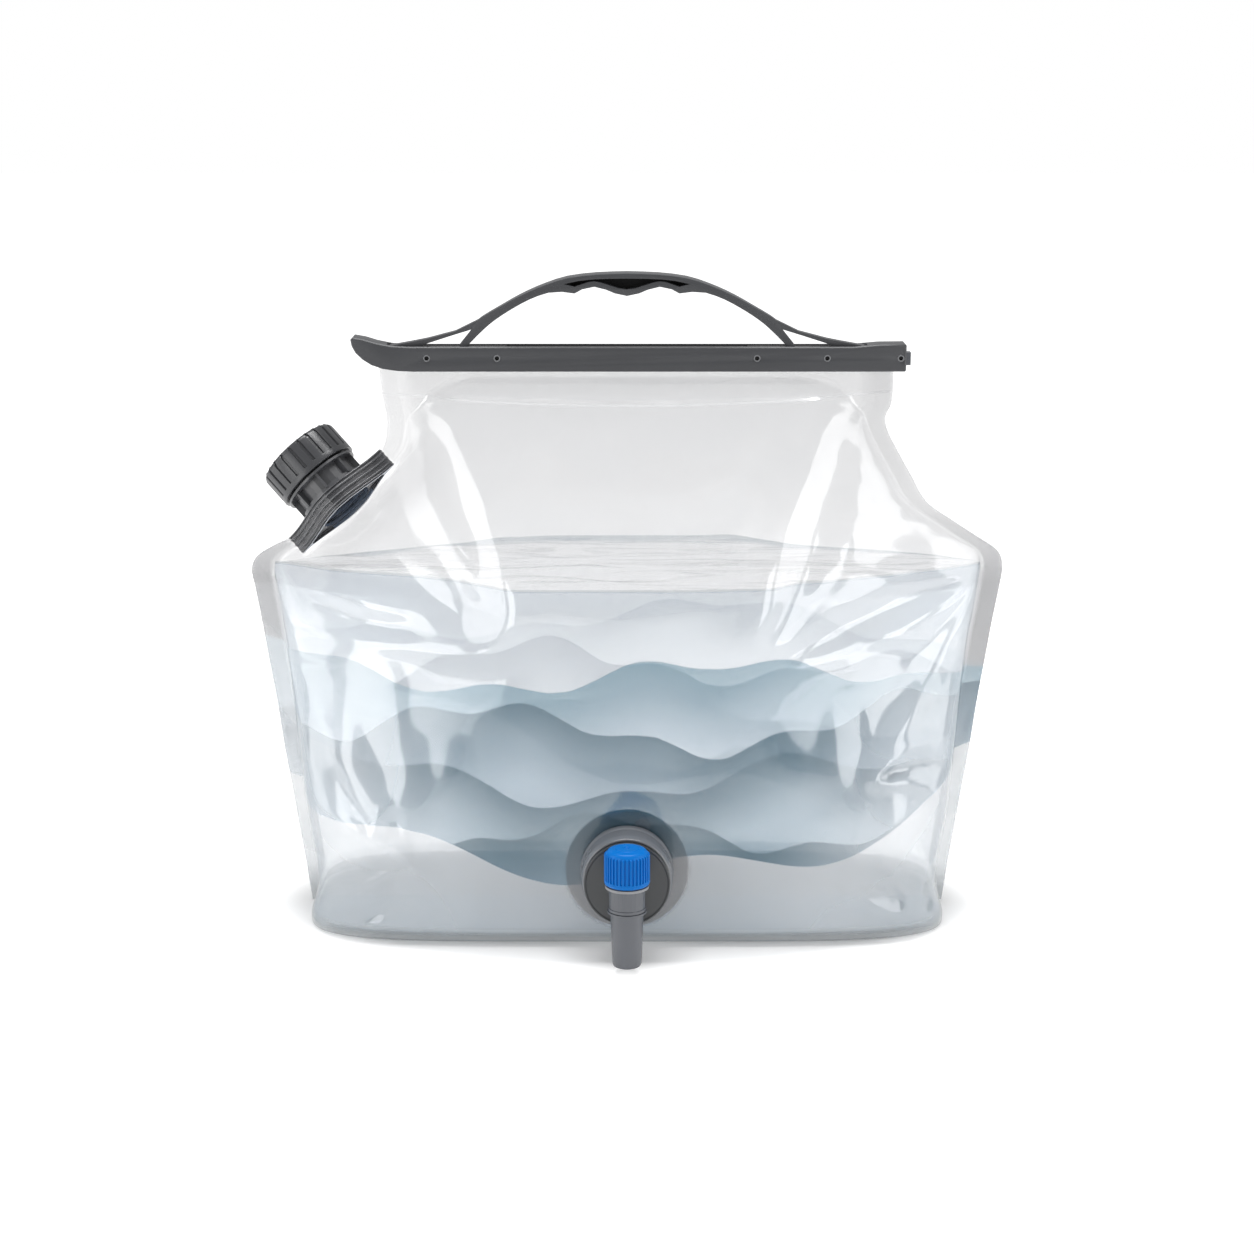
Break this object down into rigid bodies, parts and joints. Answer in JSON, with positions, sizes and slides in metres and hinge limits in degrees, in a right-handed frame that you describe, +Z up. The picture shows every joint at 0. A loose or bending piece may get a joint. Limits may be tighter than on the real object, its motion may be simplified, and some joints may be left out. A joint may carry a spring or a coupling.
{
  "type": "collapsible water carrier",
  "caption": "Stand-up film pouch for carrying water, with a slide-on closure bar and handle, a screw-capped filler and a twist tap low on the front.",
  "frame": {"origin": "middle of the flat base that the pouch stands on", "axes": "+X along the pouch's width, to the right as seen from the tap side; -Y out of the tap side; +Z up through the handle"},
  "size_m": [0.445, 0.2149, 0.3832],
  "materials": {
    "clear_film": "clear glossy film",
    "grey_plastic": "satin moulded, dark grey",
    "dark_plastic": "satin moulded, darker grey",
    "pale_plastic": "smooth moulded, mid grey",
    "blue_plastic": "smooth moulded, bright blue",
    "seal_rubber": "plain",
    "pin_steel": "plain"
  },
  "bodies": {
    "pouch": {"front_film": "clear_film", "back_film": "clear_film", "base_gusset": "clear_film", "front_rail": "pale_plastic", "back_rail": "pale_plastic", "filler_neck": "grey_plastic", "tap_fitment": "pale_plastic", "clamp_ring": "pale_plastic"},
    "closure": {"slider_bar": "grey_plastic", "end_plug": "pale_plastic", "end_pin": "pin_steel", "handle": "grey_plastic", "handle_pin_1": "pin_steel", "handle_pin_2": "pin_steel", "handle_pin_3": "pin_steel", "handle_pin_4": "pin_steel"},
    "cap_carrier": {"cap_seal": "seal_rubber"},
    "cap": {"filler_cap": "grey_plastic"},
    "nut": {"tap_nut": "dark_plastic"},
    "tap": {"tap_body": "pale_plastic", "bonnet": "pale_plastic", "outlet_nozzle": "pale_plastic", "tap_gasket": "seal_rubber", "stem_oring": "seal_rubber"},
    "stem": {"valve_stem": "pale_plastic", "seat_seal": "seal_rubber"},
    "tap_knob": {"knob": "blue_plastic"}
  },
  "joints": [
    {"name": "closure_slide", "type": "slide", "parent": "pouch", "child": "closure", "axis": [1, 0, 0], "range_m": [0, 0.32]},
    {"name": "cap_lift", "type": "slide", "parent": "pouch", "child": "cap_carrier", "axis": [-0.6662, 0.2924, 0.6861], "range_m": [0, 0.045]},
    {"name": "cap_turn", "type": "hinge", "parent": "cap_carrier", "child": "cap", "pos_m": [-0.16929, 0, 0.2496], "axis": [-0.6662, 0.2924, 0.6861], "range_deg": [0, 630]},
    {"name": "nut_turn", "type": "hinge", "parent": "pouch", "child": "nut", "pos_m": [0, -0.1, 0.0475], "axis": [0, -1, 0], "range_deg": [0, 540]},
    {"name": "tap_swivel", "type": "hinge", "parent": "pouch", "child": "tap", "pos_m": [0, -0.1, 0.0475], "axis": [0, -1, 0], "range_deg": [-90, 90]},
    {"name": "stem_rise", "type": "slide", "parent": "tap", "child": "stem", "axis": [0, 0, 1], "range_m": [0, 0.0016]},
    {"name": "knob_turn", "type": "hinge", "parent": "stem", "child": "tap_knob", "pos_m": [0, -0.12, 0.0475], "axis": [0, 0, 1], "range_deg": [0, 270]}
  ],
  "couplings": [
    {"joint": "stem_rise", "follows": "knob_turn", "m_per_rad": 0.000339}
  ]
}
